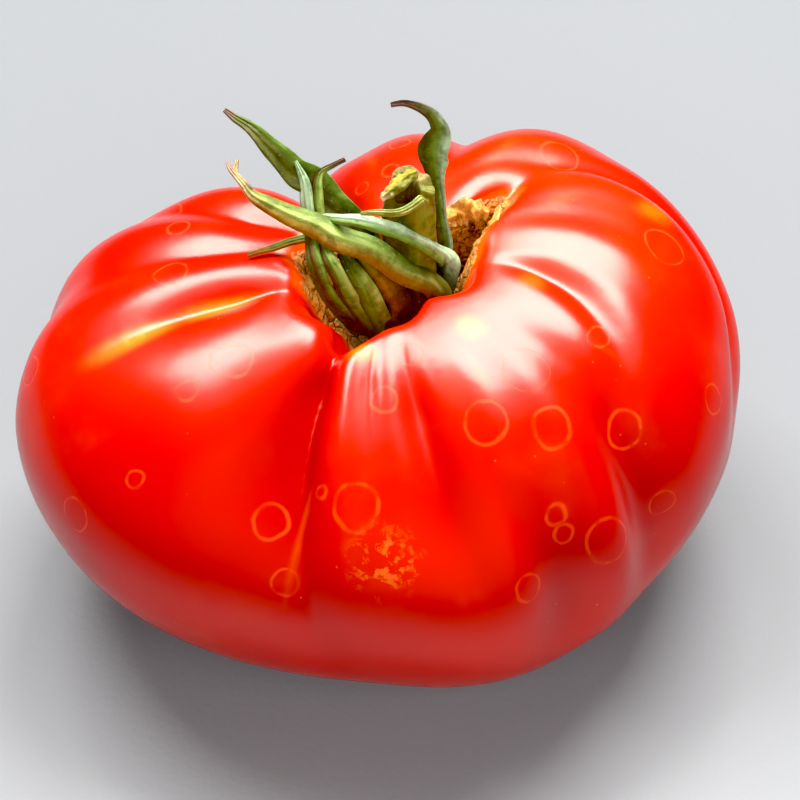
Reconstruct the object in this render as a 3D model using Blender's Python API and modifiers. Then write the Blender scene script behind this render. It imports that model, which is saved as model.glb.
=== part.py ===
"""Beefsteak tomato with its dried green calyx, resting on its blossom end.

Metres, +Z up, origin at the middle of the footprint on the resting plane.
Two parts: `fruit` (one ribbed solid with a stem pit, a blossom dimple and a flat
resting spot) and `calyx` (receptacle, sepals and the broken stalk stub, one solid).
"""
import math

import bmesh
import bpy
from mathutils import Matrix, Vector

MM = 0.001

# ---- fruit ---------------------------------------------------------------
BODY_RADIUS = 53.5 * MM          # mean half width in plan
SHOULDER_RISE = 30.8 * MM        # equator up to the shoulders
BELLY_DROP = 34.8 * MM           # equator down to the blossom end
EQUATOR_Z = 34.8 * MM
SHOULDER_FULLNESS = 2.4          # super-ellipse power of the side profile, above the equator
BELLY_FULLNESS = 2.3             # and below it
SHOULDER_TILT = (-.01, .048)    # slope of the shoulders along x and y
SINK = 1.6 * MM                  # how much of the belly is flattened to rest on
PLAN_SHIFT = (2.5 * MM, -1.8 * MM)
# plan outline: (waves around, amount, direction of the first crest in degrees)
PLAN_WAVES = ((1, .005, -60.4), (2, .132, 15), (3, .071, 56.1), (4, .015, -12.7), (5, .021, 8.4))
# grooves: (direction deg, half width deg, depth, sharpness, full by, gone by, sweep deg)
GROOVES = (
    (1, 8, .014, 2, 80, 120, 0), (10, 7, .018, 2, 25, 75, -38), (20, 7, .017, 2, 25, 75, -38),
    (34, 6, .011, 2, 25, 70, -30), (41, 6, .05, 1.7, 65, 95, -48), (47, 8, .06, 1.8, 22, 72, -4),
    (74, 9, .108, 1.5, 52, 120, 0), (100, 8, .02, 2, 40, 110, 0),
    (121.4, 8, .386, 1.3, 25, 100, 0), (153.3, 8, .085, 1.6, 28, 90, -1),
    (167.5, 8, .055, 2, 75, 125, 6), (173.5, 8, .07, 1.6, 30, 72, 6),
    (191.5, 9, .1, 1.3, 26, 64, 0), (235, 9, .05, 2, 50, 108, 3),
    (243, 7, .17, 1.25, 34, 110, 11), (263, 5, .04, 1.7, 28, 66, 14),
    (279, 9, .095, 1.6, 34, 112, 11), (293, 6, .035, 1.8, 62, 110, 8),
    (305, 9, .088, 2, 85, 125, 0), (325, 8, .102, 2, 75, 120, 0), (336, 7, .05, 1.8, 22, 60, -42),
    (352, 6, .01, 2, 25, 60, -38),
)
# stem pit
PIT_AT = (0.9 * MM, 5.6 * MM)
PIT_DEPTH = 18.7 * MM
PIT_RADIUS = 10.7 * MM
PIT_POWER = 4.0
PIT_CORNERS = ((236.6, 13.7, 6.4), (308, 30, -4.6), (33, 18, 2.5), (47, 8.5, 11.5), (140, 20, 5),
               (167, 12, 4), (90, 25, -1.2), (200, 25, 6.2))
BOWL = (1 * MM, 11.5 * MM, 25.2 * MM, 4.9 * MM)      # wide shallow hollow: x, y, radius, depth
DIMPLE_RADIUS, DIMPLE_DEPTH = 9.0 * MM, 3.2 * MM       # blossom end
AROUND, DOWN = 100, 42                                 # mesh rows

# ---- calyx ---------------------------------------------------------------
BLADE_THICK = 0.9 * MM
RECEPTACLE = (2.9, 5.0, 46.2, 3.9, 5.0)                # centre x, y, z, radius, half height (mm)
STUB_RADIUS = 4.1 * MM
# sepals: name -> (centre line mm, width mm at each point, facing, fold)
SEPALS = {
    "strap": (((6, 3.8, 48.4), (9.6, 3.9, 53.6), (8.2, 3.6, 57.7), (4.1, 3.2, 61.2), (-.8, 3.6, 65.2),
               (-6.4, 5, 67), (-9.8, 6.6, 67.8), (-13.5, 8.2, 68.5), (-17.7, 9.6, 69.7),
               (-19.9, 10.8, 70.3), (-21.5, 12.4, 71), (-22.9, 14.6, 71.5), (-22.8, 17, 72.2)),
              (4, 4.2, 4.2, 4.3, 4.4, 4.4, 4.2, 3.7, 2.8, 2, 1.4, 1, .6), (0, -.45, .9), -.5),
    "strap_fork": (((-20.4, 11.4, 70.5), (-22.2, 13.2, 71.4), (-23.6, 15, 71.8), (-24.4, 17.2, 71.3)),
              (1.4, 1.2, .9, .6), (0, -.45, .9), -.2),
    "arch": (((6, 6.5, 48), (9.8, 8.4, 52), (10.8, 8.5, 55.6), (10.8, 8.1, 58.9), (8.8, 6.8, 62.8),
               (4.8, 5, 67.4), (.6, 4.6, 70.1), (-3, 5.2, 70.6), (-6.4, 7.4, 68.9), (-9.3, 9.8, 66.9)),
              (3.6, 3.8, 3.8, 3.6, 3.3, 3, 2.6, 2.3, 1.9, 1.3), (0, -.3, .95), -.45),
    "olive": (((1.6, 7.2, 48.5), (-.6, 9.2, 55.5), (-2.2, 10.8, 60.2), (-4.9, 12.2, 62.8),
               (-8.3, 13.8, 66.5), (-11, 14.6, 69.7), (-13.8, 15.2, 71.5), (-16.6, 16, 74.6),
               (-19, 17.4, 76.9), (-21.3, 19.2, 77.7), (-23.2, 21, 77.6), (-24.8, 22.6, 77.6)),
              (3, 3.8, 4.6, 5, 5.2, 5, 4.6, 3.6, 2.5, 1.7, 1.2, .6), (.3, -.7, .6), .35),
    "low": (((.6, 4.6, 48), (-3, 8.6, 55), (-7.2, 9.4, 61.2), (-10.4, 8.8, 63.6), (-12.3, 8.5, 63.1),
               (-14.5, 8.2, 62.6), (-17.1, 7.7, 61.8), (-19.4, 7, 61.6), (-21.2, 6.4, 61.4)),
              (2.4, 2.3, 2, 1.7, 1.5, 1.3, 1.1, .8, .6), (0, -.3, 1), -.2),
    "fan_a": (((2, 3.4, 47.8), (-1.2, 1.8, 48.8), (-3.9, .9, 50.8), (-6.8, .5, 54.8), (-9, .8, 59.2),
               (-10.4, 2.6, 63.1), (-11.1, 5.6, 64.9), (-11.5, 9.2, 66.5), (-11.9, 11.8, 68.8),
               (-12.3, 13.6, 71.1), (-13.5, 15.8, 73)),
              (3, 3, 3.2, 3, 2.8, 2.6, 2.4, 2.3, 2.2, 1.7, .6), (-.3, -.8, .5), -.4),
    "fan_b": (((2.4, 3.2, 47.6), (.2, 1.8, 48.4), (-1.5, 1, 50.2), (-3.7, .4, 54.7), (-5.9, .4, 60),
               (-7.8, 2.2, 63.9), (-9.2, 5.6, 64.7), (-9.8, 9.4, 66.3), (-10.1, 12, 68.6),
               (-10, 13.6, 70.3), (-9.3, 15, 71.5), (-7.4, 15.4, 72.6), (-5.6, 15.6, 73.6)),
              (3, 3.2, 3.4, 3.2, 2.8, 2.4, 2.3, 2.2, 1.9, 1.5, 1, .7, .6), (-.2, -.8, .6), -.45),
    "fan_c": (((4.6, 3.4, 48), (3.2, 2.4, 49.6), (2, 2, 52.2), (2.2, 1.9, 55.6), (0, 2.4, 59.6),
               (-2.5, 3.8, 61.8), (-5.4, 6, 63.6)),
              (4.4, 4.8, 5.2, 5.6, 5, 3.6, 1.6), (0, -.7, .7), -.25),
    "fan_d": (((3, 3.2, 47.6), (1.4, 1.8, 48.2), (-.1, 1, 50.4), (-1.2, .5, 54.7), (-2.8, .9, 59.1),
               (-4.5, 2.2, 62.3), (-6.5, 5.2, 63.5)),
              (3.4, 3.8, 4.2, 4.6, 4, 3, 1.5), (-.1, -.8, .6), -.3),
    "hook": (((6.4, 6.4, 48), (9.6, 9.2, 53.5), (10.4, 10.8, 57.5), (10.1, 12, 60.8), (9.6, 13, 64.1),
               (9.1, 14.2, 68.1), (8.7, 15, 71.6), (8.4, 15.6, 74.4), (8.8, 16, 76.9),
               (9.4, 16.4, 79.4), (8.5, 16.6, 81.7), (6.4, 16.8, 83.5), (3.9, 17, 84.4), (1.6, 17, 84)),
              (3.6, 3, 2.6, 2.4, 2.2, 2.4, 3.4, 5, 4.7, 3.3, 2.3, 1.5, .9, .6), (-.2, -.8, .55), .3),
}
STUB_LINE = ((3.8, 5, 47.6), (4.6, 7.4, 54), (4.5, 8.8, 61), (4.3, 9.4, 67.5), (4.9, 10, 73.2))


def smooth(t):
    t = min(max(t, 0.0), 1.0)
    return t * t * (3.0 - 2.0 * t)


def turn(a):
    return (a + math.pi) % (2.0 * math.pi) - math.pi


def signed_power(v, p):
    return math.copysign(abs(v) ** p, v)


def fruit_point(phi, theta):
    """Skin point at azimuth phi, polar angle theta (0 stem end, pi blossom end)."""
    plan = BODY_RADIUS
    for waves, amount, crest in PLAN_WAVES:
        plan *= 1.0 + amount * math.cos(waves * (phi - math.radians(crest)))
    c = math.cos(theta)
    power = 2.0 / (SHOULDER_FULLNESS if c > 0 else BELLY_FULLNESS)
    spread = abs(math.sin(theta)) ** power
    rise = signed_power(c, power)
    deg = math.degrees(theta)
    dent = 0.0
    for az, width, depth, sharp, full, gone, sweep in GROOVES:
        away = abs(turn(phi - math.radians(az + sweep * (deg - 45.0) / 45.0))) / math.radians(width)
        dent += (depth * math.exp(-away ** sharp) * smooth((deg - 8.0) / (full - 8.0))
                 * (1.0 - smooth((deg - full) / (gone - full))))
    lean = smooth((c + 0.1) / 1.1)
    x = PIT_AT[0] * lean + plan * spread * (1.0 - dent) * math.cos(phi)
    y = PIT_AT[1] * lean + plan * spread * (1.0 - dent) * math.sin(phi)
    half = SHOULDER_RISE if c > 0 else BELLY_DROP
    z = EQUATOR_Z + half * rise * (1.0 - 0.75 * dent * smooth(abs(c) * 1.5))
    z += smooth(c * 1.6) * (SHOULDER_TILT[0] * x + SHOULDER_TILT[1] * y)
    if c > 0:
        dx, dy = x - PIT_AT[0], y - PIT_AT[1]
        around = math.atan2(dy, dx)
        rim = PIT_RADIUS
        for az, width, more in PIT_CORNERS:
            rim += more * MM * math.exp(-(turn(around - math.radians(az)) / math.radians(width)) ** 2)
        z -= PIT_DEPTH * math.exp(-(1.2 * math.hypot(dx, dy) / rim) ** PIT_POWER)
        z -= BOWL[3] * math.exp(-((x - BOWL[0]) ** 2 + (y - BOWL[1]) ** 2) / BOWL[2] ** 2)
    else:
        z += DIMPLE_DEPTH * math.exp(-(x * x + y * y) / DIMPLE_RADIUS ** 2)
    return Vector((x + PLAN_SHIFT[0], y + PLAN_SHIFT[1], max(z - SINK, 0.0)))


def make_fruit():
    bm = bmesh.new()
    bmesh.ops.create_uvsphere(bm, u_segments=AROUND, v_segments=DOWN, radius=1.0)
    for v in bm.verts:
        even = math.acos(max(-1.0, min(1.0, v.co.z))) / math.pi
        phi = math.atan2(v.co.y, v.co.x)
        v.co = fruit_point(phi, math.pi * even ** 1.5)       # rows crowd towards the stem pit
    bmesh.ops.triangulate(bm, faces=bm.faces[:])
    bmesh.ops.recalc_face_normals(bm, faces=bm.faces[:])
    return finish_mesh(bm, "fruit", (0.75, 0.03, 0.01), 0.22)


def finish_mesh(bm, name, colour, rough):
    me = bpy.data.meshes.new(name)
    bm.to_mesh(me)
    bm.free()
    ob = bpy.data.objects.new(name, me)
    tomato.objects.link(ob)
    mat = bpy.data.materials.new(name + "_skin")
    mat.use_nodes = True
    shader = mat.node_tree.nodes["Principled BSDF"]
    shader.inputs["Base Color"].default_value = (*colour, 1.0)
    shader.inputs["Roughness"].default_value = rough
    me.materials.append(mat)
    return ob


def catmull(values, t):
    """Smooth interpolation of a list (numbers or vectors) at t in 0..1."""
    last = len(values) - 1
    f = min(max(t, 0.0), 1.0) * last
    i = min(int(f), last - 1)
    u = f - i
    a, b = values[max(i - 1, 0)], values[i]
    c, d = values[i + 1], values[min(i + 2, last)]
    bend = (2 * a - 5 * b + 4 * c - d) * u * u + (3 * b - a - 3 * c + d) * u ** 3
    return 0.5 * (2 * b + (c - a) * u + bend)


def sepal(name, line, widths, facing, fold):
    """Tapering V-folded blade swept along a line: a grid laid out by formula, then thickened."""
    points = [Vector(p) * MM for p in line]
    widths = [w * MM for w in widths]
    rows = round(1.4 * (len(points) - 1))
    hint = Vector(facing).normalized()
    bm = bmesh.new()
    bmesh.ops.create_grid(bm, x_segments=rows, y_segments=4, size=1.0)
    for v in bm.verts:
        t, s = (v.co.x + 1.0) / 2.0, v.co.y
        ahead = catmull(points, min(t + 0.01, 1.0)) - catmull(points, max(t - 0.01, 0.0))
        side = ahead.cross(hint).normalized()
        up = side.cross(ahead).normalized()
        half = max(catmull(widths, t), 0.6 * MM) / 2.0
        v.co = catmull(points, t) + side * (s * half) + up * (fold * half * abs(s))
    ob = finish_mesh(bm, name, (0.1, 0.2, 0.04), 0.6)
    thick = ob.modifiers.new("thick", "SOLIDIFY")
    thick.thickness = BLADE_THICK
    thick.offset = 0.0
    applied(ob, thick)
    return ob


def applied(ob, modifier):
    bpy.ops.object.select_all(action="DESELECT")
    bpy.context.view_layer.objects.active = ob
    ob.select_set(True)
    bpy.ops.object.modifier_apply(modifier=modifier.name)


def stalk_stub():
    """Short thick stalk: a cylinder with a hollow pith, its top slanting, bent along its line."""
    points = [Vector(p) * MM for p in STUB_LINE]
    bm = bmesh.new()
    bmesh.ops.create_cone(bm, cap_ends=True, segments=18, radius1=1.0, radius2=1.0, depth=1.0,
                          matrix=Matrix.Translation((0, 0, 0.5)))
    for cut in range(1, 6):
        bmesh.ops.bisect_plane(bm, geom=bm.verts[:] + bm.edges[:] + bm.faces[:], dist=1e-6,
                               plane_co=(0, 0, cut / 6.0), plane_no=(0, 0, 1))
    top = max(bm.faces, key=lambda f: f.calc_center_median().z)
    bmesh.ops.inset_region(bm, faces=[top], thickness=0.25, use_even_offset=True)
    bmesh.ops.inset_region(bm, faces=[top], thickness=0.12, depth=-0.12, use_even_offset=True)
    bmesh.ops.inset_region(bm, faces=[top], thickness=0.25, depth=-0.06, use_even_offset=True)
    for v in bm.verts:
        t, a = v.co.z, math.atan2(v.co.y, v.co.x)
        out = math.hypot(v.co.x, v.co.y) * STUB_RADIUS
        out *= (1.0 + 0.05 * math.cos(3 * a + 0.6)) * (1.0 - 0.16 * math.sin(math.pi * t))
        slant = 1.6 * MM * t * t * out / STUB_RADIUS * math.sin(a)
        v.co = catmull(points, t) + Vector((out * math.cos(a), out * math.sin(a), slant))
    return finish_mesh(bm, "stub", (0.1, 0.2, 0.04), 0.6)


def receptacle():
    x, y, z, radius, half = (v * MM for v in RECEPTACLE)
    bm = bmesh.new()
    bmesh.ops.create_uvsphere(bm, u_segments=24, v_segments=12, radius=1.0)
    for v in bm.verts:
        v.co = Vector((x + radius * v.co.x, y + radius * v.co.y, z + half * signed_power(v.co.z, 0.8)))
    bmesh.ops.triangulate(bm, faces=bm.faces[:])
    return finish_mesh(bm, "calyx", (0.1, 0.2, 0.04), 0.6)


def make_calyx():
    base = receptacle()
    pieces = bpy.data.collections.new("calyx_pieces")
    bpy.context.scene.collection.children.link(pieces)
    for ob in [stalk_stub()] + [sepal(n, *spec) for n, spec in SEPALS.items()]:
        tomato.objects.unlink(ob)
        pieces.objects.link(ob)
    union = base.modifiers.new("union", "BOOLEAN")
    union.operation = "UNION"
    union.solver = "EXACT"
    union.operand_type = "COLLECTION"
    union.collection = pieces
    applied(base, union)
    for ob in list(pieces.objects):
        bpy.data.objects.remove(ob, do_unlink=True)
    bpy.data.collections.remove(pieces)
    return base


for leftover in list(bpy.data.objects):
    bpy.data.objects.remove(leftover, do_unlink=True)
tomato = bpy.data.collections.new("tomato")
bpy.context.scene.collection.children.link(tomato)
make_fruit()
make_calyx()
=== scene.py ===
"""Beefsteak tomato with dried calyx: fine skin, corky stem pit, sepals, stalk and studio."""
import math

import bmesh
import bpy
import numpy as np
from mathutils import Matrix, Vector, noise


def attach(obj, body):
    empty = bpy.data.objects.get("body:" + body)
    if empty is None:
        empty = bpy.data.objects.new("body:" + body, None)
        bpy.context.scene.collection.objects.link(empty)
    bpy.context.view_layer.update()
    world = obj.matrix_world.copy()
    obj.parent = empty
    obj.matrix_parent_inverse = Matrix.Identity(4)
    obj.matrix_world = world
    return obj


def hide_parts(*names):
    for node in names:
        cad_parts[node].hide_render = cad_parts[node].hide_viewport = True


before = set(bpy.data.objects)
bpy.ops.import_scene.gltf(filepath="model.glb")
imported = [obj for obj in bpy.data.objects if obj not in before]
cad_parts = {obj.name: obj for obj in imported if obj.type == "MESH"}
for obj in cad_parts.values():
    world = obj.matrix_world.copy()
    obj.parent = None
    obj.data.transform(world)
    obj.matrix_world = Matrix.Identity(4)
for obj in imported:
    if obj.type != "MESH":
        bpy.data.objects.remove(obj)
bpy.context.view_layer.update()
MM = 0.001

# ---- the fruit's form, as the solid has it; all angles are in degrees -------------------
BODY_RADIUS, EQUATOR_Z = 53.5 * MM, 34.8 * MM
SHOULDER_RISE, BELLY_DROP = 30.8 * MM, 34.8 * MM
SHOULDER_FULLNESS, BELLY_FULLNESS = 2.4, 2.3
SINK, PLAN_SHIFT = 1.6 * MM, (2.5 * MM, -1.8 * MM)
SHOULDER_TILT = (-.01, .048)
# slow waves of the plan: (how many round, share of the radius, azimuth of a crest)
PLAN_WAVES = ((1, .005, -60.4), (2, .132, 15), (3, .071, 56.1), (4, .015, -12.7), (5, .021, 8.4))
# (azimuth, half width, depth, sharpness, polar angle where full, where gone, lean)
GROOVES = (
    (1, 8, .014, 2, 80, 120, 0), (10, 7, .018, 2, 25, 75, -38), (20, 7, .017, 2, 25, 75, -38),
    (34, 6, .011, 2, 25, 70, -30), (41, 6, .05, 1.7, 65, 95, -48), (47, 8, .06, 1.8, 22, 72, -4),
    (74, 9, .108, 1.5, 52, 120, 0), (100, 8, .02, 2, 40, 110, 0),
    (121.4, 8, .386, 1.3, 25, 100, 0), (153.3, 8, .085, 1.6, 28, 90, -1),
    (167.5, 8, .055, 2, 75, 125, 6), (173.5, 8, .07, 1.6, 30, 72, 6),
    (191.5, 9, .1, 1.3, 26, 64, 0), (235, 9, .05, 2, 50, 108, 3),
    (243, 7, .17, 1.25, 34, 110, 11), (263, 5, .04, 1.7, 28, 66, 14),
    (279, 9, .095, 1.6, 34, 112, 11), (293, 6, .035, 1.8, 62, 110, 8),
    (305, 9, .088, 2, 85, 125, 0), (325, 8, .102, 2, 75, 120, 0), (336, 7, .05, 1.8, 22, 60, -42),
    (352, 6, .01, 2, 25, 60, -38),
)
PIT_AT, PIT_POWER = (0.9 * MM, 5.6 * MM), 4.0
PIT_DEPTH, PIT_RADIUS = 18.7 * MM, 10.7 * MM
# where the pit's lip runs out of round: (azimuth, half width, outwards in mm)
PIT_CORNERS = ((236.6, 13.7, 6.4), (308, 30, -4.6), (33, 18, 2.5), (47, 8.5, 11.5), (140, 20, 5),
               (167, 12, 4), (90, 25, -1.2), (200, 25, 6.2))
# shallow bowl round the pit
BOWL_AT, BOWL_RADIUS, BOWL_DEPTH = (1 * MM, 11.5 * MM), 25.2 * MM, 4.9 * MM
DIMPLE_RADIUS, DIMPLE_DEPTH = 9.0 * MM, 3.2 * MM

# ---- what marks the skin ----------------------------------------------------------------
# golden patches: (azimuth, polar angle, half width across, half length down, strength)
GOLD = (
    (191.5, 28, 3.2, 11, .8), (192.5, 44, 3.0, 10, 1.0), (312, 14, 10, 3.5, .8),
    (354, 18, 8, 3.5, .6), (24, 47, 4, 6, .7), (248.5, 68, 1.3, 20, .4), (250, 18, 9, 3, .9),
    (60, 33, 3, 10, .35), (168, 30, 3, 12, .3), (338, 38, 2.2, 7, .3), (100, 40, 3, 16, .35),
    (140, 50, 3, 18, .4), (32, 28, 4, 6, .35), (282, 78, 3, 7, .2), (300, 24, 4, 9, .3),
)
# pale rings on the skin: (azimuth, polar angle, radius mm, strength)
RINGS = (
    (161, 38, 1.9, .6), (178, 34, 2.9, .8), (214, 30, 3.1, .9), (213, 40, 1.8, .8),
    (217, 62, 1.6, .8), (242, 64, 2.7, .8), (248, 79, 2.0, .6), (251, 53, 1.0, .8),
    (260, 54, 3.6, 1.0), (274, 17, 2.2, .6), (264, 29, 2.0, .7), (294, 35, 3.4, .8),
    (310, 42, 3.1, 1.0), (328, 56, 2.9, .8), (304, 63, 1.6, .9), (305, 70, 1.5, .9),
    (313, 77, 3.6, .8), (295, 80, 2.3, .6), (330, 83, 2.3, .4), (348, 69, 2.3, .4),
    (49, 43, 3.2, .7), (14, 46, 3.5, .6), (340, 35, 1.9, .7), (91, 41, 1.8, .7), (94, 28, 1.4, .7),
    (106, 29, 1.3, .6), (315, 28, 3.8, .3), (209, 81, 2.7, .5), (70, 60, 2.4, .6),
    (86, 76, 3.2, .6), (135, 66, 2.6, .6), (152, 52, 3.0, .6), (30, 78, 2.8, .6),
    (185, 70, 2.2, .5), (118, 84, 1.8, .6),
)
# mottled russet cluster low on the front, and the side where the shoulders take an orange tint,
# partly the skin's own colour and partly painted light and sheen
BLOTCH_AT, BLOTCH_EDGE = (267, 66), (.002, .0075)
TINT_AND_SHEEN_AZIMUTH, TINT_AND_SHEEN_SPREAD = 45, 55
SCAR_RADIUS = 3.2 * MM

# ---- colours ----------------------------------------------------------------------------
RED, BRIGHT_RED, WARM_RED = (.49, .0068, .0006), (.54, .0108, .0008), (.57, .030, .0011)
SHOULDER_TINT_AND_SHEEN_RED, CREASE_SHADE_RED = (.68, .034, .002), (.30, .0016, .0003)
GOLD_RED, GOLD_YELLOW, RING_PINK = (1.0, .20, .008), (1.0, .42, .03), (1.0, .17, .03)
RUSSET, PIN_PRICK, HALO = (.85, .22, .03), (1.0, .25, .08), (.95, .13, .012)
CORK_DARK, CORK_TAN, CORK_RED = (.34, .12, .02), (.90, .42, .10), (.90, .32, .05)
PIT_SHADE_DARK, CRACK_DARK, SCAR_BROWN = (.022, .012, .004), (.03, .010, .003), (.20, .09, .03)
FLAKE_DARK, FLAKE_TAN = (.20, .06, .012), (.78, .34, .075)
FLAKE_EDGE, FLAKE_SPECK = (.90, .55, .20), (.85, .50, .20)

GREEN, PALE, OLIVE = (.15, .25, .04), (.42, .62, .40), (.085, .095, .014)
BROWN, RUST, DRY = (.10, .055, .007), (.26, .13, .012), (.15, .075, .05)
LIME, STRAW, PINKISH = (.31, .42, .10), (.62, .50, .24), (.52, .34, .25)
FUZZ, LEAF_SHADE = (.58, .66, .42), (.06, .045, .01)
STALK_LIT_SIDE, STALK_BREAK, STALK_HOLLOW = (.22, .25, .03), (.40, .34, .12), (.16, .09, .02)
FLAP_GREEN, FLAP_YELLOW, PEEL_GREEN = (.20, .21, .025), (.42, .36, .03), (.33, .34, .06)
ROOT_BROWN = (.10, .07, .02)
BOARD_BLUE, BOARD_PALE, BOARD_FAR = (.183, .207, .243), (.198, .223, .260), (.17, .17, .18)


def smooth(t):
    """0 below 0, 1 above 1, smooth between."""
    t = np.clip(t, 0.0, 1.0)
    return t * t * (3.0 - 2.0 * t)


def turn_deg(a, b):
    """Degrees from b round to a, from -180 to 180."""
    return (a - b + 180.0) % 360.0 - 180.0


def turn(a):
    """An angle in radians brought between -pi and pi."""
    return (a + np.pi) % (2.0 * np.pi) - np.pi


def skin_at(phi, theta):
    """Points of the skin, with groove depth and place in the stem pit (1 at its lip)."""
    plan = np.full_like(phi, BODY_RADIUS)
    for waves, amount, crest in PLAN_WAVES:
        plan = plan * (1.0 + amount * np.cos(waves * (phi - math.radians(crest))))
    c = np.cos(theta)
    power = np.where(c > 0, 2.0 / SHOULDER_FULLNESS, 2.0 / BELLY_FULLNESS)
    spread = np.abs(np.sin(theta)) ** power
    rise = np.sign(c) * np.abs(c) ** power
    deg = np.degrees(theta)
    dent = np.zeros_like(phi)
    for az, width, depth, sharp, full, gone, sweep in GROOVES:
        line = np.radians(az + sweep * (deg - 45.0) / 45.0)
        away = np.abs(turn(phi - line)) / math.radians(width)
        dent += (depth * np.exp(-away ** sharp) * smooth((deg - 8.0) / (full - 8.0))
                 * (1.0 - smooth((deg - full) / (gone - full))))
    lean = smooth((c + 0.1) / 1.1)
    x = PIT_AT[0] * lean + plan * spread * (1.0 - dent) * np.cos(phi)
    y = PIT_AT[1] * lean + plan * spread * (1.0 - dent) * np.sin(phi)
    z = EQUATOR_Z + np.where(c > 0, SHOULDER_RISE, BELLY_DROP) * rise * (
        1.0 - 0.75 * dent * smooth(np.abs(c) * 1.5))
    z += smooth(c * 1.6) * (SHOULDER_TILT[0] * x + SHOULDER_TILT[1] * y)
    dx, dy = x - PIT_AT[0], y - PIT_AT[1]
    around = np.arctan2(dy, dx)
    rim = np.full_like(phi, PIT_RADIUS)
    for az, width, more in PIT_CORNERS:
        rim += more * MM * np.exp(-(turn(around - math.radians(az)) / math.radians(width)) ** 2)
    pit = np.where(c > 0, np.hypot(dx, dy) / rim, 9.0)
    bowl = BOWL_DEPTH * np.exp(-((x - BOWL_AT[0]) ** 2 + (y - BOWL_AT[1]) ** 2)
                               / BOWL_RADIUS ** 2)
    z -= np.where(c > 0, PIT_DEPTH * np.exp(-(1.2 * pit) ** PIT_POWER) + bowl, 0.0)
    z += np.where(c > 0, 0.0, DIMPLE_DEPTH * np.exp(-(x * x + y * y) / DIMPLE_RADIUS ** 2))
    place = np.stack([x + PLAN_SHIFT[0], y + PLAN_SHIFT[1], np.maximum(z - SINK, 0.0)], axis=-1)
    return place, dent, pit, around


def skin_spot(az, polar):
    """The point of the skin at an azimuth and a polar angle."""
    place = skin_at(np.array([math.radians(az)]), np.array([math.radians(polar)]))[0]
    return Vector(place[0])


# ---- small tools ----------------------------------------------------------------------
def finish_piece(name, bm, body="root"):
    """Make the object for a shape, and let it ride its body."""
    me = bpy.data.meshes.new(name)
    bm.to_mesh(me)
    bm.free()
    me.shade_smooth()
    ob = bpy.data.objects.new(name, me)
    bpy.context.scene.collection.objects.link(ob)
    if body:
        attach(ob, body)
    return ob


def mark(me, name, values, kind="FLOAT"):
    """Store a number or a colour on each vertex for the finish to read."""
    layer = me.attributes.new(name, kind, "POINT")
    layer.data.foreach_set("value" if kind == "FLOAT" else "color",
                           np.asarray(values, np.float32).ravel())


def marked(me, name):
    """The numbers stored under a name on the vertices."""
    values = np.empty(len(me.vertices))
    me.attributes[name].data.foreach_get("value", values)
    return values


def vertex_values(me, name):
    """Each vertex's co or normal, as rows of three."""
    values = np.empty(len(me.vertices) * 3)
    me.vertices.foreach_get(name, values)
    return values.reshape(-1, 3)


def uneven(points, size, seed):
    """Smooth noise at each point, from about -1 to 1, with lumps of one size."""
    s = 1.0 / size
    return np.array([noise.noise(Vector((p[0] * s + seed, p[1] * s, p[2] * s))) for p in points])


def catmull(values, t):
    """A value on the smooth curve through the values, for t from 0 to 1."""
    last = len(values) - 1
    f = min(max(t, 0.0), 1.0) * last
    i = min(int(f), last - 1)
    u = f - i
    a, b = values[max(i - 1, 0)], values[i]
    c, d = values[i + 1], values[min(i + 2, last)]
    bend = (2 * a - 5 * b + 4 * c - d) * u * u + (3 * b - a - 3 * c + d) * u ** 3
    return 0.5 * (2 * b + (c - a) * u + bend)


class Value:
    """A number from a node; arithmetic on it adds Math nodes."""

    def __init__(self, finish, socket):
        self.finish, self.socket = finish, socket

    def math(self, operation, *others):
        return self.finish.node("ShaderNodeMath", {"operation": operation},
                                dict(enumerate((self,) + others)))

    def __add__(self, other):
        return self.math("ADD", other)

    def __sub__(self, other):
        return self.math("SUBTRACT", other)

    def __rsub__(self, other):
        return self.math("MULTIPLY", -1.0).math("ADD", other)

    def __mul__(self, other):
        return self.math("MULTIPLY", other)

    def __abs__(self):
        return self.math("ABSOLUTE")

    def low(self, other):
        return self.math("MINIMUM", other)

    def high(self, other):
        return self.math("MAXIMUM", other)

    def step(self, start, end):
        """0 below start, 1 above end, smooth between."""
        return self.finish.node("ShaderNodeMapRange", {"interpolation_type": "SMOOTHSTEP"},
                                {0: self, 1: start, 2: end, 3: 0.0, 4: 1.0})

    __radd__, __rmul__ = __add__, __mul__


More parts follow.
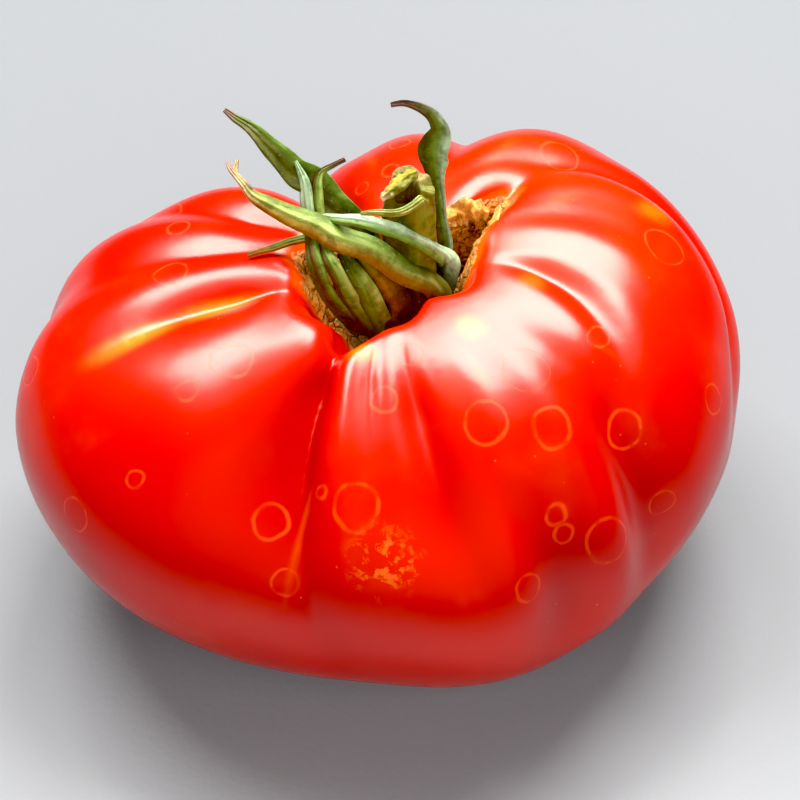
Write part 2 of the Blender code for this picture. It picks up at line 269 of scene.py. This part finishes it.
class Finish:
    """One material and the few kinds of node it is written with."""

    def __init__(self, name, **plain):
        self.material = bpy.data.materials.new(name)
        self.material.use_nodes = True
        self.tree = self.material.node_tree
        self.shader = self.tree.nodes["Principled BSDF"]
        for key, value in plain.items():
            self.shader.inputs[key.replace("_", " ")].default_value = value
        self.place = self.node("ShaderNodeTexCoord", out="Object")

    def node(self, kind, settings=None, inputs=None, out=0):
        made = self.tree.nodes.new(kind)
        for key, value in (settings or {}).items():
            setattr(made, key, value)
        for key, value in (inputs or {}).items():
            self.plug(made.inputs[key], value)
        return Value(self, made.outputs[out])

    def plug(self, socket, value):
        if isinstance(value, Value):
            self.tree.links.new(value.socket, socket)
        elif isinstance(value, (tuple, list)) and socket.type == "RGBA":
            socket.default_value = (*value, 1.0)[:4]
        else:
            socket.default_value = value

    def set(self, **links):
        for key, value in links.items():
            self.plug(self.shader.inputs[key.replace("_", " ")], value)

    def noise(self, size, detail=3.0, rough=0.5, place=None):
        return self.node("ShaderNodeTexNoise", None, {
            "Vector": place or self.place, "Scale": 1.0 / size, "Detail": detail,
            "Roughness": rough})

    def cells(self, size, place, feature="F1"):
        return self.node("ShaderNodeTexVoronoi", {"feature": feature},
                         {"Vector": place, "Scale": 1.0 / size}, "Distance")

    def away(self, point, place=None):
        """Metres from a point."""
        return self.node("ShaderNodeVectorMath", {"operation": "DISTANCE"},
                         {0: place or self.place, 1: tuple(point)}, "Value")

    def mark(self, name):
        return self.node("ShaderNodeAttribute", {"attribute_name": name}, out="Fac")

    def tint(self, name):
        return self.node("ShaderNodeAttribute", {"attribute_name": name}, out="Color")

    def mix(self, share, a, b, how="MIX"):
        return self.node("ShaderNodeMix", {"data_type": "RGBA", "blend_type": how},
                         {0: share, 6: a, 7: b}, out=2)

    def times(self, colour, by):
        return self.mix(1.0, colour, by, "MULTIPLY")

    def shifted(self, amount, size):
        """Object place pushed about by noise, for ragged edges."""
        cloud = self.node("ShaderNodeTexNoise", None,
                          {"Vector": self.place, "Scale": 1.0 / size}, "Color")
        centred = self.node("ShaderNodeVectorMath", {"operation": "SUBTRACT"},
                            {0: cloud, 1: (.5, .5, .5)})
        return self.node("ShaderNodeVectorMath", {"operation": "MULTIPLY_ADD"},
                         {0: centred, 1: (amount,) * 3, 2: self.place})

    def bump(self, height, depth, strength=1.0, under=None):
        """Normal for a height of 0..1 over depth metres."""
        inputs = {"Height": height, "Distance": depth, "Strength": strength}
        if under:
            inputs["Normal"] = under
        return self.node("ShaderNodeBump", None, inputs)


# ---- finishes -------------------------------------------------------------------------
def ring_line(f):
    """1 on the thin pale rings left by drops on the young fruit."""
    place = f.shifted(.0022, .007)
    nearest = None
    for az, polar, radius, strength in RINGS:
        away = f.away(skin_spot(az, polar), place)
        ring = abs(away - radius * MM) + (1.0 - strength) * .0003
        nearest = ring if nearest is None else nearest.low(ring)
    line = 1.0 - nearest.step(.00008, .00055)
    return line * (f.noise(.003, 2).step(.35, .6) * .65 + .35)


def red_skin(f, broad, fine, line):
    """Ripe red with its mottle, gold, rings, russet blotch and pin pricks; painted shade darkens
    the grooves, and the orange shoulder tint is partly painted light and sheen.
    """
    patchy = f.noise(0.012, 4, .6)
    red = f.mix(broad.step(.35, .68), RED, BRIGHT_RED)
    red = f.mix(patchy.step(.5, .75) * .35, red, WARM_RED)
    # orange tint on the shoulders: partly the skin's own colour, partly painted light and sheen,
    # strongest towards the right-hand window light
    red = f.mix(f.mark("shoulder") * (patchy.step(.3, .7) * .6 + .4), red, SHOULDER_TINT_AND_SHEEN_RED)
    # painted shade: the red is darkened in the grooves, more where they are deeper
    red = f.mix(f.mark("dent").step(.02, .13) * .7, red, CREASE_SHADE_RED)
    gold = f.mark("gold")
    red = f.mix((gold * (patchy + .45)).step(.12, .95) * .85, red, GOLD_RED)
    red = f.mix((gold * (fine + .5) * (patchy + .5)).step(.75, 1.5) * .7, red, GOLD_YELLOW)
    red = f.mix(line * .25, red, RING_PINK)
    blotch = 1.0 - f.away(skin_spot(*BLOTCH_AT)).step(*BLOTCH_EDGE)
    blotch = blotch * f.noise(.0022, 3, .7, f.shifted(.003, .004)).step(.5, .62)
    red = f.mix(blotch * .42, red, RUSSET)
    speck = 1.0 - f.cells(.0035, f.shifted(.001, .003)).step(.03, .075)
    return f.mix(speck * f.noise(.011, 1).step(.5, .6) * .3, red, PIN_PRICK)


def pit_cork(f, grain, crack):
    """Tan cork with dark cracks, and painted shade, near black, deeper in the pit."""
    tan = f.mix(grain.step(.35, .65), CORK_DARK, CORK_TAN)
    tan = f.mix(f.noise(.004, 2).step(.5, .7) * .6, tan, CORK_RED)
    # painted shade: the cork turns near black deeper in the pit
    tan = f.mix((1.0 - f.mark("pit").step(.42, .72)) * .8, tan, PIT_SHADE_DARK)
    cracked = (1.0 - crack.step(.01, .07)) * f.noise(.005, 2).step(.4, .6)
    return f.mix(cracked * .8, tan, CRACK_DARK)


def tomato_skin():
    """Glossy red skin that turns to dull cork round the stem pit and at the blossom scar."""
    f = Finish("ripe_skin", Subsurface_Weight=0.12, Subsurface_Scale=0.006, IOR=1.5)
    f.shader.inputs["Subsurface Radius"].default_value = (1.0, 0.12, 0.05)
    broad, fine = f.noise(0.035, 2), f.noise(0.0016, 4, .65)
    grain = f.noise(.0011, 5, .75, f.shifted(.0012, .002))
    crack = f.cells(.0026, f.shifted(.0030, .0022), "DISTANCE_TO_EDGE")
    line = ring_line(f)
    pit = f.mark("pit") + (f.noise(.0028, 3, .6) - .5) * .16
    cork = 1.0 - pit.step(.93, .985)
    scar = 1.0 - (f.mark("scar") + (f.noise(.0015, 3) - .5) * .9).step(.75, 1.1)
    red = f.mix((1.0 - pit.step(.97, 1.13)) * .75, red_skin(f, broad, fine, line), HALO)
    colour = f.mix(scar * .9, f.mix(cork, red, pit_cork(f, grain, crack)), SCAR_BROWN)
    dull = cork.high(scar)
    ripple = f.bump(f.noise(.0045, 2, .5), .00010, .5)
    pores = f.bump(fine, .00003, .35, ripple)
    f.set(Base_Color=colour,
          Roughness=f.node("ShaderNodeMix", {"data_type": "FLOAT"},
                           {0: dull, 2: broad * .06 + .22 + line * .06, 3: .86}),
          Normal=f.bump((grain + crack.step(0.0, .15) * .8) * dull, .0007, .9, pores))
    return f.material


def leaf():
    """Green dried leaf: the colour comes from the piece, veins and fuzz are added here."""
    f = Finish("dried_leaf", Subsurface_Weight=0.0, IOR=1.45, Sheen_Weight=0.08,
               Sheen_Roughness=0.4)
    tone, across = f.tint("tone"), f.mark("across")
    mottle, fine = f.noise(.0026, 4, .62), f.noise(.0007, 4, .7)
    colour = f.mix(mottle.step(.45, .62) * .75, tone, f.times(tone, (.50, .48, .36)))
    vein = f.node("ShaderNodeMath", {"operation": "SINE"}, {0: across * 9.0 + mottle * 4.0})
    colour = f.mix(vein.step(.2, 1.0) * .22, colour, f.times(colour, (1.35, 1.3, 1.3)))
    colour = f.mix(fine.step(.6, .72) * .35, colour, FUZZ)
    colour = f.mix((1.0 - fine.step(.28, .4)) * .4, colour, LEAF_SHADE)
    f.set(Base_Color=colour, Roughness=mottle * .2 + .45)
    f.set(Normal=f.bump(vein * .3 + fine * .5 + mottle * .7, .0003, .8))
    return f.material


def bark():
    """Loose cork, tan at its broken edges."""
    f = Finish("loose_cork", IOR=1.4)
    grain, fine = f.noise(.0016, 5, .7), f.noise(.0005, 4, .7)
    colour = f.mix(grain.step(.3, .6) * .6 + .4, FLAKE_DARK, f.tint("tone"))
    colour = f.mix(fine.step(.55, .7) * .4, colour, FLAKE_SPECK)
    f.set(Base_Color=colour, Roughness=fine * .2 + .7,
          Normal=f.bump(grain + fine * .5, .0005, .9))
    return f.material


def board():
    """Pale blue-grey board with a painted pool of light just in front of the fruit, where its
    shadow falls, and plain grey far off.
    """
    f = Finish("pale_board", IOR=1.4)
    pale = f.mix(f.noise(.25, 2).step(.3, .7) * .3, BOARD_BLUE, BOARD_PALE)
    # painted light: the board is made lighter in front of the fruit to lift its shadow
    near = 1.0 - f.away((.0, -.08, 0)).step(.02, .13)
    pale = f.mix(near * .9, pale, f.times(pale, (1.6, 1.57, 1.54)))
    far = f.away((0, 0, 0)).step(.20, .60)
    f.set(Base_Color=f.mix(far, pale, BOARD_FAR), Roughness=.55,
          Normal=f.bump(f.noise(.0012, 2, .6), .0002, .25))
    return f.material


# ---- pieces ---------------------------------------------------------------------------
def skin_relief(place, pit, around):
    """How far each point of the skin stands out: gentle lumps, then cork inside the pit."""
    resting = place[:, 2] < 0.0004
    lift = uneven(place, .030, 3.1) * .45 * MM + uneven(place, .012, 7.7) * .16 * MM
    lift *= np.where(resting, 0.0, smooth(place[:, 2] / .006)) * smooth((pit - .9) / .3)
    cork = smooth((1.06 - pit) / .12) * smooth((pit - .35) / .2)
    rag = uneven(place, .0035, 11.3) * .55 + uneven(place, .0014, 5.1) * .3
    lift += cork * rag * MM
    lip = np.exp(-((pit - .97) / .05) ** 2) * np.exp(-(turn(around - .65) / .5) ** 2)
    return lift + lip * (.2 + .6 * uneven(place, .002, 2.2)) * MM


def gold_patches(azimuth, polar):
    """How golden each point of the skin is, from 0 to 1."""
    gold = np.zeros(len(azimuth))
    for az, th, wide, tall, strength in GOLD:
        off = (turn_deg(azimuth, az) / wide) ** 2 + ((polar - th) / tall) ** 2
        gold = np.maximum(gold, strength * np.exp(-off))
    return gold


def cork_edge(pit, around):
    """Place in the pit, stretched so that the cork ends where it should on each side."""
    side = np.degrees(around)
    front = smooth((turn_deg(side, 196) + 10) / 16) * smooth((turn_deg(338, side) + 8) / 16)
    left = np.exp(-(turn_deg(side, 168) / 22) ** 2)
    right = np.exp(-(turn_deg(side, 42) / 24) ** 2)
    return pit * (1.0 + .33 * front - .10 * left - .13 * right)


def grow_skin():
    """The dressed skin: a round mesh laid on the form, closest together near the pit."""
    bm = bmesh.new()
    bmesh.ops.create_uvsphere(bm, u_segments=400, v_segments=230, radius=1.0)
    skin = finish_piece("skin", bm)
    me = skin.data
    co = vertex_values(me, "co")
    phi = np.arctan2(co[:, 1], co[:, 0])
    theta = np.pi * (np.arccos(np.clip(co[:, 2], -1.0, 1.0)) / np.pi) ** 1.4
    place, dent, pit, around = skin_at(phi, theta)
    me.vertices.foreach_set("co", place.ravel())
    me.update()
    place = place + vertex_values(me, "normal") * skin_relief(place, pit, around)[:, None]
    place[:, 2] = np.maximum(place[:, 2], 0.0)
    me.vertices.foreach_set("co", place.ravel())
    polar, azimuth = np.degrees(theta), np.degrees(phi)
    tint_and_sheen_side = np.exp(-(turn_deg(azimuth, TINT_AND_SHEEN_AZIMUTH) / TINT_AND_SHEEN_SPREAD) ** 2)
    low = np.hypot(place[:, 0] - PLAN_SHIFT[0], place[:, 1] - PLAN_SHIFT[1]) / SCAR_RADIUS
    mark(me, "gold", gold_patches(azimuth, polar))
    # groove depth, which the finish reads for the painted shade in the grooves
    mark(me, "dent", dent)
    # the shoulders' orange tint, partly painted light and sheen on the top and the lit right-hand
    # side
    mark(me, "shoulder", smooth((64 - polar) / 30) * (.12 + .88 * tint_and_sheen_side))
    mark(me, "pit", cork_edge(pit, around))
    mark(me, "scar", np.where(np.cos(theta) < 0, low, 9.0))
    me.update()
    me.materials.append(tomato_skin())
    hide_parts("fruit")


# ---- the calyx and the loose cork; lengths without MM are in mm -------------------------
# name: centre line, widths, facing, fold, colours (ridge, low side, high side), colour of the
# tip, and where along the line it starts to dry; the side colours are the sepal's own greens
# and browns, with painted shade on the darker low side and painted light on the paler high side
SEPALS = {
    "strap": (
        ((6, 3.8, 48.4), (9.6, 3.9, 53.6), (8.2, 3.6, 57.7), (4.1, 3.2, 61.2), (-.8, 3.6, 65.2),
         (-6.4, 5, 67), (-9.8, 6.6, 67.8), (-13.5, 8.2, 68.5), (-17.7, 9.6, 69.7),
         (-19.9, 10.8, 70.3), (-21.5, 12.4, 71), (-22.9, 14.6, 71.5), (-22.8, 17, 72.2)),
        (4, 4.2, 4.2, 4.3, 4.4, 4.4, 4.2, 3.7, 2.8, 2, 1.4, 1, .6), (0, -.45, .9), -.5,
        (LIME, RUST, GREEN), STRAW, .68),
    "strap_fork": (
        ((-20.4, 11.4, 70.5), (-22.2, 13.2, 71.4), (-23.6, 15, 71.8), (-24.4, 17.2, 71.3)),
        (1.4, 1.2, .9, .6), (0, -.45, .9), -.2,
        (STRAW, STRAW, STRAW), PINKISH, .2),
    "arch": (
        ((6, 6.5, 48), (9.8, 8.4, 52), (10.8, 8.5, 55.6), (10.8, 8.1, 58.9), (8.8, 6.8, 62.8),
         (4.8, 5, 67.4), (.6, 4.6, 70.1), (-3, 5.2, 70.6), (-6.4, 7.4, 68.9), (-9.3, 9.8, 66.9)),
        (3.6, 3.8, 3.8, 3.6, 3.3, 3, 2.6, 2.3, 1.9, 1.3), (0, -.3, .95), -.45,
        (PALE, GREEN, PALE), PALE, 2),
    "olive": (
        ((1.6, 7.2, 48.5), (-.6, 9.2, 55.5), (-2.2, 10.8, 60.2), (-4.9, 12.2, 62.8),
         (-8.3, 13.8, 66.5), (-11, 14.6, 69.7), (-13.8, 15.2, 71.5), (-16.6, 16, 74.6),
         (-19, 17.4, 76.9), (-21.3, 19.2, 77.7), (-23.2, 21, 77.6), (-24.8, 22.6, 77.6)),
        (3, 3.8, 4.6, 5, 5.2, 5, 4.6, 3.6, 2.5, 1.7, 1.2, .6), (.3, -.7, .6), .35,
        (OLIVE, OLIVE, GREEN), DRY, .86),
    "low": (
        ((.6, 4.6, 48), (-3, 8.6, 55), (-7.2, 9.4, 61.2), (-10.4, 8.8, 63.6),
         (-12.3, 8.5, 63.1), (-14.5, 8.2, 62.6), (-17.1, 7.7, 61.8), (-19.4, 7, 61.6),
         (-21.2, 6.4, 61.4)),
        (2.4, 2.3, 2, 1.7, 1.5, 1.3, 1.1, .8, .6), (0, -.3, 1), -.2,
        (GREEN, RUST, GREEN), RUST, .7),
    "fan_a": (
        ((2, 3.4, 47.8), (-1.2, 1.8, 48.8), (-3.9, .9, 50.8), (-6.8, .5, 54.8), (-9, .8, 59.2),
         (-10.4, 2.6, 63.1), (-11.1, 5.6, 64.9), (-11.5, 9.2, 66.5), (-11.9, 11.8, 68.8),
         (-12.3, 13.6, 71.1), (-13.5, 15.8, 73)),
        (3, 3, 3.2, 3, 2.8, 2.6, 2.4, 2.3, 2.2, 1.7, .6), (-.3, -.8, .5), -.4,
        (BROWN, OLIVE, GREEN), PALE, .62),
    "fan_b": (
        ((2.4, 3.2, 47.6), (.2, 1.8, 48.4), (-1.5, 1, 50.2), (-3.7, .4, 54.7), (-5.9, .4, 60),
         (-7.8, 2.2, 63.9), (-9.2, 5.6, 64.7), (-9.8, 9.4, 66.3), (-10.1, 12, 68.6),
         (-10, 13.6, 70.3), (-9.3, 15, 71.5), (-7.4, 15.4, 72.6), (-5.6, 15.6, 73.6)),
        (3, 3.2, 3.4, 3.2, 2.8, 2.4, 2.3, 2.2, 1.9, 1.5, 1, .7, .6), (-.2, -.8, .6), -.45,
        (GREEN, BROWN, LIME), DRY, .80),
    "fan_c": (
        ((4.6, 3.4, 48), (3.2, 2.4, 49.6), (2, 2, 52.2), (2.2, 1.9, 55.6), (0, 2.4, 59.6),
         (-2.5, 3.8, 61.8), (-5.4, 6, 63.6)),
        (4.4, 4.8, 5.2, 5.6, 5, 3.6, 1.6), (0, -.7, .7), -.25,
        (RUST, BROWN, BROWN), OLIVE, .7),
    "fan_d": (
        ((3, 3.2, 47.6), (1.4, 1.8, 48.2), (-.1, 1, 50.4), (-1.2, .5, 54.7), (-2.8, .9, 59.1),
         (-4.5, 2.2, 62.3), (-6.5, 5.2, 63.5)),
        (3.4, 3.8, 4.2, 4.6, 4, 3, 1.5), (-.1, -.8, .6), -.3,
        (GREEN, OLIVE, LIME), OLIVE, .7),
    "hook": (
        ((6.4, 6.4, 48), (9.6, 9.2, 53.5), (10.4, 10.8, 57.5), (10.1, 12, 60.8),
         (9.6, 13, 64.1), (9.1, 14.2, 68.1), (8.7, 15, 71.6), (8.4, 15.6, 74.4),
         (8.8, 16, 76.9), (9.4, 16.4, 79.4), (8.5, 16.6, 81.7), (6.4, 16.8, 83.5),
         (3.9, 17, 84.4), (1.6, 17, 84)),
        (3.6, 3, 2.6, 2.4, 2.2, 2.4, 3.4, 5, 4.7, 3.3, 2.3, 1.5, .9, .6), (-.2, -.8, .55), .3,
        (GREEN, OLIVE, PALE), DRY, .74),
}
STUB_LINE = ((3.8, 5, 47.6), (4.6, 7.4, 54), (4.5, 8.8, 61), (4.3, 9.4, 67.5), (4.9, 10, 73.2))
STUB_ACROSS, STUB_CUTS, STUB_TOP_RINGS = (4.8 * MM, 3.8 * MM), 36, 14
HOLLOW_AT, HOLLOW_RADIUS, HOLLOW_EDGE = Vector((-1.0, -.9, 0)) * MM, 2.5 * MM, 1.1 * MM
STUB_MIDDLE, HOLLOW_DEPTH = (4.5, 9.4), 3.4
# skin torn off the stalk: centre line, widths, facing, fold
TORN_FLAP = (((5.6, 11.6, 74.9), (4.2, 10.2, 75.3), (2.6, 8.6, 75.0), (1.2, 7.4, 74.4),
              (.1, 6.7, 73.7)),
             (1.6, 2.4, 2.3, 1.8, .8), (-.2, -.5, .8), -.5)
TORN_PEEL = (((6.6, 7.6, 72.9), (4.4, 6.0, 72.3), (2, 5.3, 72.0), (-.8, 5.2, 72.2),
              (-3.2, 6, 71.2)),
             (1.5, 1.3, 1.1, .9, .4), (0, -.7, .7), -.3)
# loose cork: name, centre line, widths, facing
CORK_FLAKES = (
    ("cork_curl", ((10.2, 14.6, 59.6), (12.0, 16.4, 60.2), (14.0, 17.2, 60.2),
                   (16.0, 17.6, 59.9), (17.6, 17.8, 59.4)),
     (2.2, 3.6, 4.0, 3.2, 1.4), (.2, -.8, .5)),
    ("cork_ridge", ((19.0, 18.6, 60.2), (18.2, 15.6, 59.8), (17.0, 12.6, 59.2),
                    (15.8, 9.8, 58.6), (14.6, 7.2, 58.2)),
     (1.0, 1.8, 2.2, 2.0, 1.0), (-.7, -.3, .6)),
)
ROOT_AT, ROOT_RADIUS, ROOT_HEIGHT = (3.2, 4.4, 48.0), 4.3, 3.3
SEPAL_THICK, TORN_THICK, CORK_THICK = .38, .35, .5


def blade(name, line, widths, facing, fold, thick, ragged):
    """Long thin leaf swept along a line (mm), and each vertex's place along and across it."""
    points = [Vector(p) * MM for p in line]
    spans = len(points) - 1
    hint = Vector(facing).normalized()
    bm = bmesh.new()
    bmesh.ops.create_grid(bm, x_segments=6 * spans, y_segments=12, size=1.0)
    along = bm.verts.layers.float.new("along")
    across = bm.verts.layers.float.new("across")
    wobble = sum(map(ord, name)) * .37
    for v in bm.verts:
        t, s = (v.co.x + 1.0) / 2.0, v.co.y
        v[along], v[across] = t, s
        ahead = catmull(points, min(t + 0.01, 1.0)) - catmull(points, max(t - 0.01, 0.0))
        side = ahead.cross(hint).normalized()
        up = side.cross(ahead).normalized()
        half = max(catmull(widths, t), 0.3) * MM / 2.0
        ridge = fold * (math.sqrt(s * s + .03) - .17)
        curl = .12 * math.sin(t * spans * 2.3 + wobble + (1.5 if s > 0 else 0)) * s * s
        rib = .06 * math.exp(-(s / .14) ** 2)
        waver = .06 * math.sin(t * spans * 3.1 + wobble * 2)
        rag = noise.noise(Vector((t * spans * 3.5 + wobble, s * 2.0, 4.4)))
        place = catmull(points, t) + side * (half * (s * (1 + ragged * rag) + waver))
        v.co = place + up * (half * (ridge + curl + rib + (.10 + ragged) * rag))
    bmesh.ops.solidify(bm, geom=bm.faces[:], thickness=thick * MM)
    bmesh.ops.recalc_face_normals(bm, faces=bm.faces[:])
    ob = finish_piece(name, bm)
    return ob, marked(ob.data, "along"), marked(ob.data, "across")


def colour_in(ob, tone, material):
    """Give a piece its colours and finish, and round it off."""
    mark(ob.data, "tone", np.hstack([tone, np.ones((len(tone), 1))]), "FLOAT_COLOR")
    sub = ob.modifiers.new("round", "SUBSURF")
    sub.levels = sub.render_levels = 1
    ob.data.materials.append(material)


def clothe(ob, tone):
    """Finish a leafy piece, and let it stand in for the plain calyx."""
    colour_in(ob, tone, LEAF)
    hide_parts("calyx")


def between(a, b, share):
    """A colour for each share of the way from a to b."""
    return np.asarray(a) * (1.0 - share[:, None]) + np.asarray(b) * share[:, None]


def sepal(name, line, widths, facing, fold, tones, tip, dry_from):
    """Folded leaf, brown at its root and dry at its tip, with painted shade on its low side and
    painted light on its high side.
    """
    ob, t, s = blade("sepal_" + name, line, widths, facing, fold, SEPAL_THICK, 0.0)
    ridge, low, high = tones
    # the sepal's own colours, with painted shade on the low side and painted light on the high
    # side
    tone = between(between(ridge, low, smooth((-s - .1) / .5)), high, smooth((s - .1) / .5))
    tone = between(tone, BROWN, .75 * smooth((.34 - t) / .3))
    tone = between(tone, tip, smooth((t - dry_from) / max(.1, .7 * (1 - dry_from))))
    clothe(ob, tone)


def stalk():
    """Broken stalk: a thick column whose torn top slants, hollow on its near left side."""
    points = [Vector(p) * MM for p in STUB_LINE]
    bm = bmesh.new()
    bmesh.ops.create_cone(bm, cap_ends=True, segments=80, radius1=1.0, radius2=1.0, depth=1.0,
                          matrix=Matrix.Translation((0, 0, 0.5)))
    for cut in range(1, STUB_CUTS):
        bmesh.ops.bisect_plane(bm, geom=bm.verts[:] + bm.edges[:] + bm.faces[:], dist=1e-6,
                               plane_co=(0, 0, cut / STUB_CUTS), plane_no=(0, 0, 1))
    top = max(bm.faces, key=lambda f: f.calc_center_median().z)
    for _ in range(STUB_TOP_RINGS):
        bmesh.ops.inset_region(bm, faces=[top], thickness=.066, use_even_offset=True)
    inside = bm.verts.layers.float.new("inside")
    for v in bm.verts:
        t, a = v.co.z, math.atan2(v.co.y, v.co.x)
        share = min(1.0, math.hypot(v.co.x, v.co.y))
        around = Vector((math.cos(a) * 2, math.sin(a) * 2, t * 5))
        flute = (.05 * math.cos(3 * a + 0.6) + .03 * math.cos(7 * a + 2.0)
                 + .07 * noise.noise(around))
        waist = 1.0 - .14 * math.sin(math.pi * t) - .26 * smooth((t - .72) / .28)
        girth = (1.0 + flute * share) * waist
        across = Vector((share * STUB_ACROSS[0] * math.cos(a),
                         share * STUB_ACROSS[1] * math.sin(a), 0)) * girth
        to_edge = HOLLOW_RADIUS - (across - HOLLOW_AT).length
        hollow = smooth(to_edge / HOLLOW_EDGE) if t > .999 else 0.0
        ragged = noise.noise(around * 1.1 + Vector((0, 0, 9))) + .6 * noise.noise(around * 3)
        torn = t ** 3 * share * (1.5 * math.sin(a - .5) + .9 * ragged)
        v[inside] = hollow
        v.co = (catmull(points, t) + across
                + Vector((0, 0, (torn - HOLLOW_DEPTH * hollow) * MM)))
    bmesh.ops.recalc_face_normals(bm, faces=bm.faces[:])
    ob = finish_piece("stalk", bm)
    x, y, z = vertex_values(ob.data, "co").T / MM
    side = np.arctan2(y - STUB_MIDDLE[1], x - STUB_MIDDLE[0])
    # painted light: the stalk is lighter towards its right-hand side
    tone = between(OLIVE, STALK_LIT_SIDE, smooth((x - 3.5) / 3.5))
    tone = between(tone, RUST, .5 * smooth(np.sin(side * 5 + z * .3) - .2))
    tone = between(tone, STALK_BREAK, smooth((z - 72.2) / 1.8))
    tone = between(tone, STALK_HOLLOW, smooth(marked(ob.data, "inside") * 2.2))
    tone = between(tone, BROWN, smooth((60 - z) / 8))
    mark(ob.data, "across", side * 1.2)
    clothe(ob, tone)


def torn_skin():
    """Strips of stalk skin torn loose at the break."""
    flap, t, s = blade("torn_flap", *TORN_FLAP, TORN_THICK, .4)
    tone = between(FLAP_GREEN, FLAP_YELLOW, smooth(s + .6))
    clothe(flap, between(tone, STRAW, smooth((t - .6) / .35)))
    peel, t, s = blade("torn_peel", *TORN_PEEL, TORN_THICK, .1)
    clothe(peel, between(PEEL_GREEN, LIME, smooth(s + .5)))


def cork_flakes():
    """Loose curled edges of cork standing along the far right of the pit."""
    for name, line, widths, facing in CORK_FLAKES:
        flake, t, s = blade(name, line, widths, facing, -.6, CORK_THICK, .7)
        edge = smooth((np.abs(s) - .55) / .4)
        colour_in(flake, between(FLAKE_TAN, FLAKE_EDGE, edge), BARK)


def receptacle():
    """Fleshy knob that the sepals and the stalk grow from, with five slight lobes."""
    bm = bmesh.new()
    bmesh.ops.create_uvsphere(bm, u_segments=48, v_segments=24, radius=1.0)
    for v in bm.verts:
        wide = ROOT_RADIUS * (1 + .08 * math.cos(5 * math.atan2(v.co.y, v.co.x)))
        out = Vector((wide * v.co.x, wide * v.co.y, ROOT_HEIGHT * v.co.z))
        v.co = (Vector(ROOT_AT) + out) * MM
    ob = finish_piece("receptacle", bm)
    n = len(ob.data.vertices)
    mark(ob.data, "across", np.zeros(n))
    clothe(ob, np.tile(ROOT_BROWN, (n, 1)))


# ---- studio ---------------------------------------------------------------------------
DAY, ROOM = (1.0, .93, .84), (1.0, .90, .80, 1.0)
LIT_POINT = Vector((0.0, 0.0, 0.04))
# name: azimuth, elevation, distance, width, height, power
LIGHTS = {
    "window_left": (127, 57, 1.1, .50, .42, 14.5),
    "window_right": (67, 57, 1.1, .60, .50, 22),
    "sky_panel": (90, 74, 1.3, 1.7, .9, 4.3),
    "front_fill": (-80, 38, 1.5, 2.6, 1.2, 27),
}
EYE, LOOKED_AT = Vector((.0025, -.2797, .3617)), Vector((.0025, -.0018, .0305))


def soft_light(name, azimuth, elevation, distance, wide, tall, power):
    """Rectangle of daylight that faces the fruit."""
    light = bpy.data.lights.new(name, "AREA")
    light.shape, light.size, light.size_y = "RECTANGLE", wide, tall
    light.energy, light.color = power, DAY
    ob = bpy.data.objects.new(name, light)
    a, e = math.radians(azimuth), math.radians(elevation)
    out = Vector((math.cos(a) * math.cos(e), math.sin(a) * math.cos(e), math.sin(e)))
    ob.location = LIT_POINT + out * distance
    ob.rotation_euler = out.to_track_quat("Z", "Y").to_euler()
    bpy.context.scene.collection.objects.link(ob)
    return ob


def studio():
    """Board, soft daylight from behind, a fill in front, and the camera."""
    bm = bmesh.new()
    bmesh.ops.create_grid(bm, x_segments=4, y_segments=4, size=1.6)
    floor = finish_piece("floor", bm, body=None)
    floor.data.materials.append(board())
    world = bpy.data.worlds.new("room")
    world.use_nodes = True
    world.node_tree.nodes["Background"].inputs["Color"].default_value = ROOM
    world.node_tree.nodes["Background"].inputs["Strength"].default_value = 0.10
    bpy.context.scene.world = world
    lights = {name: soft_light(name, *spec) for name, spec in LIGHTS.items()}
    # the fill stays out of the gloss, so the front keeps its deep red
    lights["front_fill"].visible_glossy = False
    tones = bpy.context.scene.view_settings
    tones.view_transform = "Standard"
    tones.use_curve_mapping = True
    tones.curve_mapping.black_level = (.02, .02, .02)
    tones.curve_mapping.update()
    camera = bpy.data.cameras.new("camera")
    camera.lens, camera.sensor_width = 117.0, 36.0
    camera.shift_x, camera.shift_y = 0.0044, 0.0231
    camera.clip_start = 0.01
    view = bpy.data.objects.new("camera", camera)
    view.location = EYE
    view.rotation_euler = (LOOKED_AT - EYE).to_track_quat("-Z", "Y").to_euler()
    bpy.context.scene.collection.objects.link(view)
    bpy.context.scene.camera = view


# ---- the scene --------------------------------------------------------------------------
LEAF, BARK = leaf(), bark()
studio()
grow_skin()
for label, spec in SEPALS.items():
    sepal(label, *spec)
stalk()
torn_skin()
cork_flakes()
receptacle()
